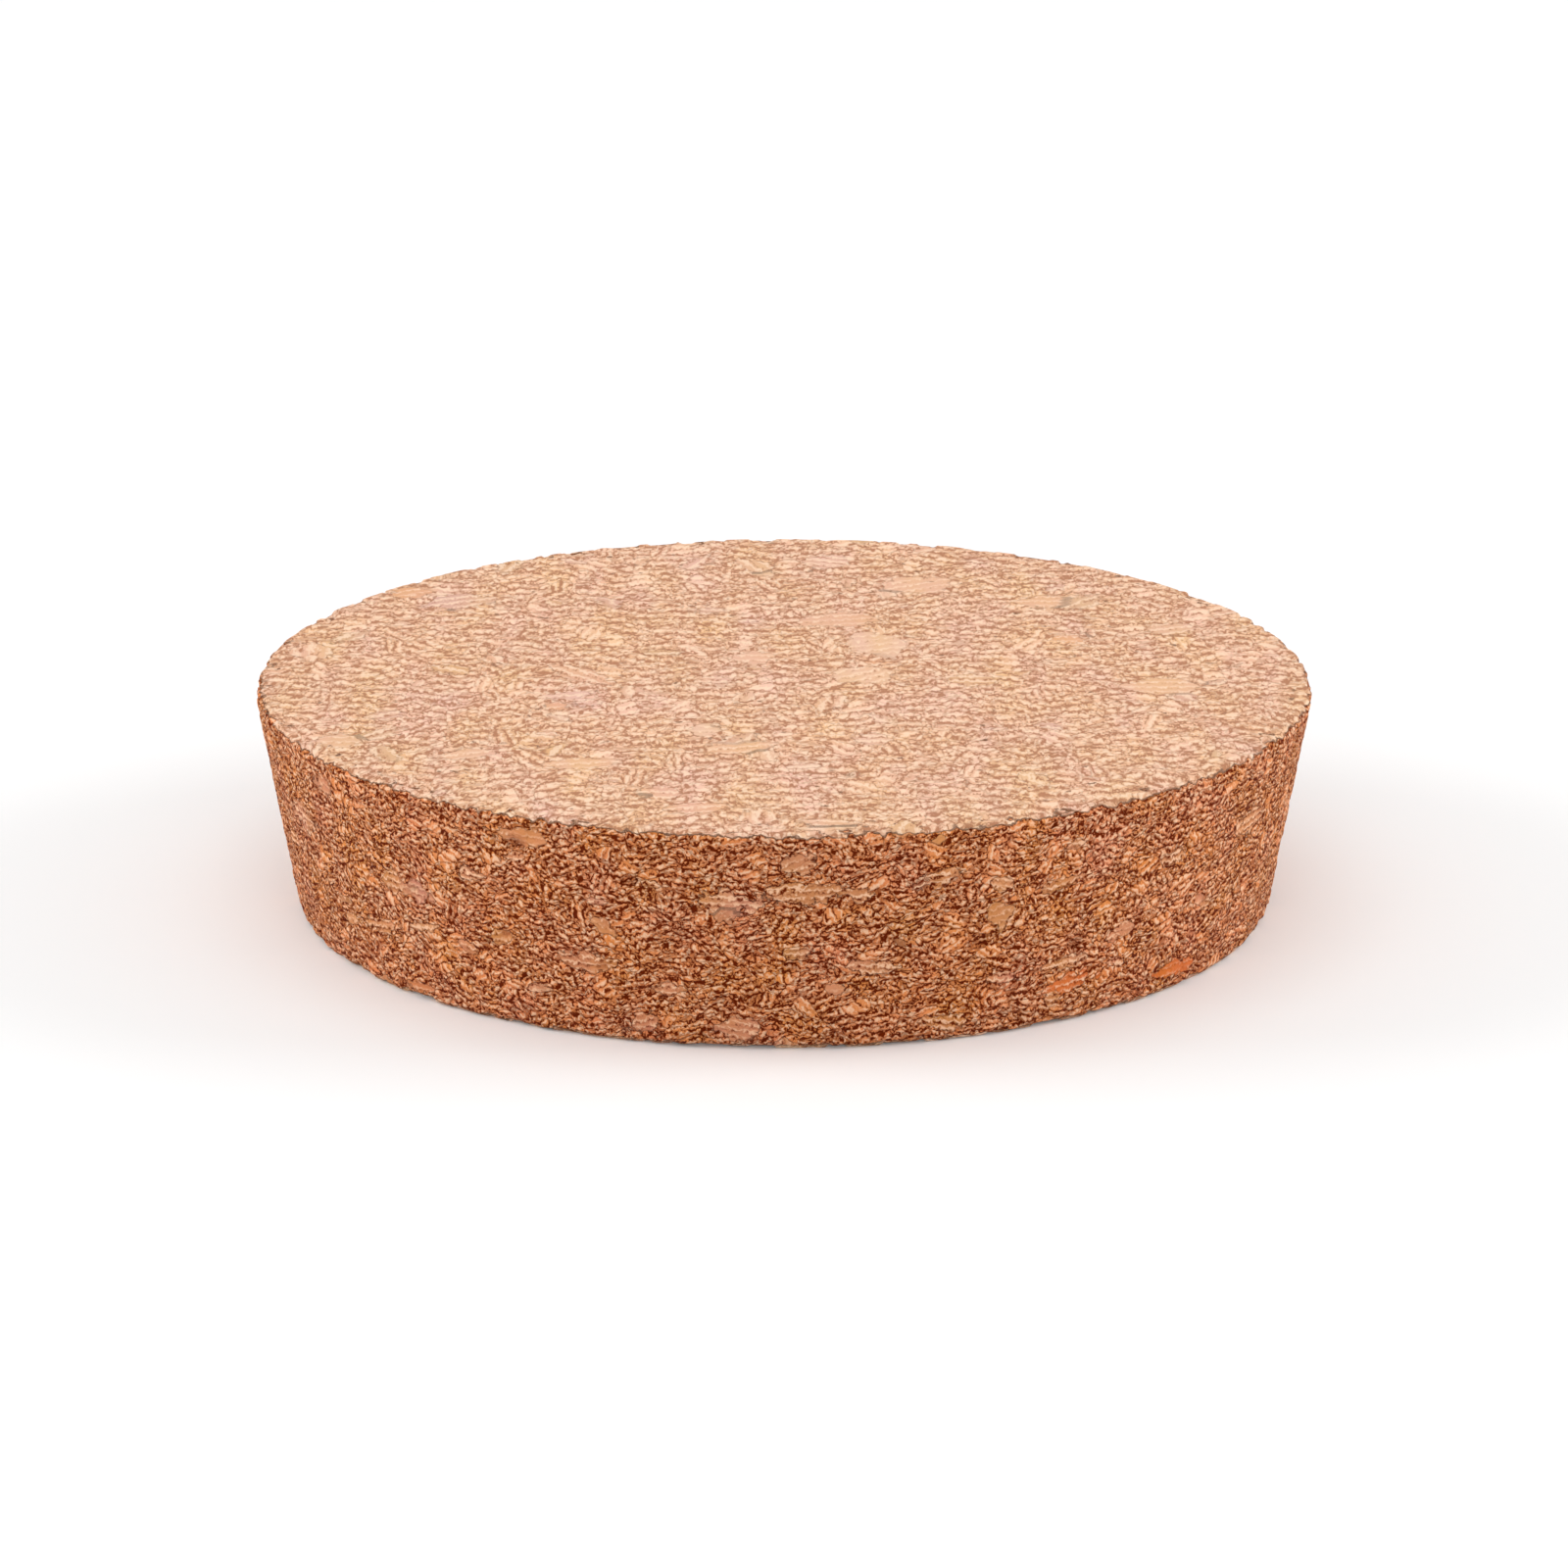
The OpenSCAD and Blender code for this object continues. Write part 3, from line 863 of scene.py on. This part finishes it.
# Studio: a pale floor, one wide lamp above, one at each side, one in front, and an even white
# surround.
studio = {
    "floorSize": 6.0,  # length of its sides, in metres
    "floorWhite": 0.96,  # the floor as the camera sees it
    "floorGlow": 0.06,  # added to it for the camera alone
    "floorColour": 0.7,  # what the floor sends back to the object
    "surround": 0.56,  # how bright the surround is for the light that it sends to the object
    "lamps": (  # name, place, size in metres, watts
        ("overhead", (-0.1, -0.2, 1.5), 1.4, 4.4),
        ("left", (-0.85, 0.08, 0.34), 0.5, 3.6),
        ("right", (0.85, 0.08, 0.34), 0.5, 3.6),
        ("front", (0.0, -1.2, 0.35), 0.9, 3.6),
    ),
}


# 1 where the camera sees a place, by itself, in gloss or through glass, and 0 for all other light.
def seenShare(tree):
    path = addNode(tree, "ShaderNodeLightPath").outputs
    seen = path["Is Camera Ray"]
    for kind in ("Is Glossy Ray", "Is Transmission Ray"):
        seen = addNode(tree, "ShaderNodeMath", {0: seen, 1: path[kind]}, operation="MAXIMUM").outputs[0]
    return seen


# White where it is seen, with the object's shadow on it, and a plain grey to all other light.
def floorMaterial():
    material = bpy.data.materials.new("studio_floor")
    material.use_nodes = True
    tree = material.node_tree
    tree.nodes.clear()
    seen = seenShare(tree)
    shades = [(studio[key],) * 3 + (1,) for key in ("floorColour", "floorWhite")]
    colour = addNode(tree, "ShaderNodeMix", {0: seen, 6: shades[0], 7: shades[1]}, data_type="RGBA")
    glow = addNode(tree, "ShaderNodeMath", {0: seen, 1: studio["floorGlow"]}, operation="MULTIPLY")
    inputs = {
        "Base Color": colour.outputs[2],
        "Roughness": 1.0,
        "Specular IOR Level": 0.0,
        "Emission Color": (1, 1, 1, 1),
        "Emission Strength": glow.outputs[0],
    }
    shader = addNode(tree, "ShaderNodeBsdfPrincipled", inputs)
    end = addNode(tree, "ShaderNodeOutputMaterial")
    tree.links.new(shader.outputs[0], end.inputs["Surface"])
    return material


# One wide square at height 0, on which the stopper stands.
def studioFloor():
    half = studio["floorSize"] / 2
    mesh = bpy.data.meshes.new("studio_floor")
    corners = [(-half, -half, 0), (half, -half, 0), (half, half, 0), (-half, half, 0)]
    mesh.from_pydata(corners, [], [(0, 1, 2, 3)])
    mesh.materials.append(floorMaterial())
    place("studio_floor", mesh)


# Square lamps, each turned to face the stopper.
def studioLamps():
    for name, spot, size, watts in studio["lamps"]:
        light = bpy.data.lights.new(name, "AREA")
        light.shape = "SQUARE"
        light.size = size
        light.energy = watts
        lamp = place(name, light)
        lamp.location = spot
        lamp.rotation_euler = (-lamp.location).to_track_quat("-Z", "Y").to_euler()


# White where it is seen, and a dimmer even white to all other light.
def studioSurround():
    world = bpy.data.worlds.new("studio")
    world.use_nodes = True
    bpy.context.scene.world = world
    tree = world.node_tree
    tree.nodes.clear()
    strength = addNode(tree, "ShaderNodeMix", {0: seenShare(tree), 2: studio["surround"], 3: 1.0})
    inputs = {"Color": (1, 1, 1, 1), "Strength": strength.outputs[0]}
    sky = addNode(tree, "ShaderNodeBackground", inputs)
    end = addNode(tree, "ShaderNodeOutputWorld")
    tree.links.new(sky.outputs[0], end.inputs["Surface"])


# Camera: it stands where the photograph was taken from and looks straight at the stopper. All in
# millimetres.
view = {
    "place": (-3.6, -471.7, 153.4),  # from the middle of the narrow face
    "target": (0.0, 0.0, 7.5),  # the middle of the stopper
    "lens": 170.0,
    "sensor": 36.0,
    "nearest": 10.0,  # nothing nearer than this is shown
}


# The camera, turned to face its target.
def photoCamera():
    data = bpy.data.cameras.new("camera")
    data.lens = view["lens"]
    data.sensor_width = view["sensor"]
    data.clip_start = view["nearest"] * mm
    camera = place("camera", data)
    camera.location = Vector(view["place"]) * mm
    aim = Vector(view["target"]) * mm - camera.location
    camera.rotation_euler = aim.to_track_quat("-Z", "Y").to_euler()
    bpy.context.scene.camera = camera


studioFloor()
studioLamps()
studioSurround()
photoCamera()
bpy.context.scene.view_settings.view_transform = "Standard"
print("Studio and camera are set")
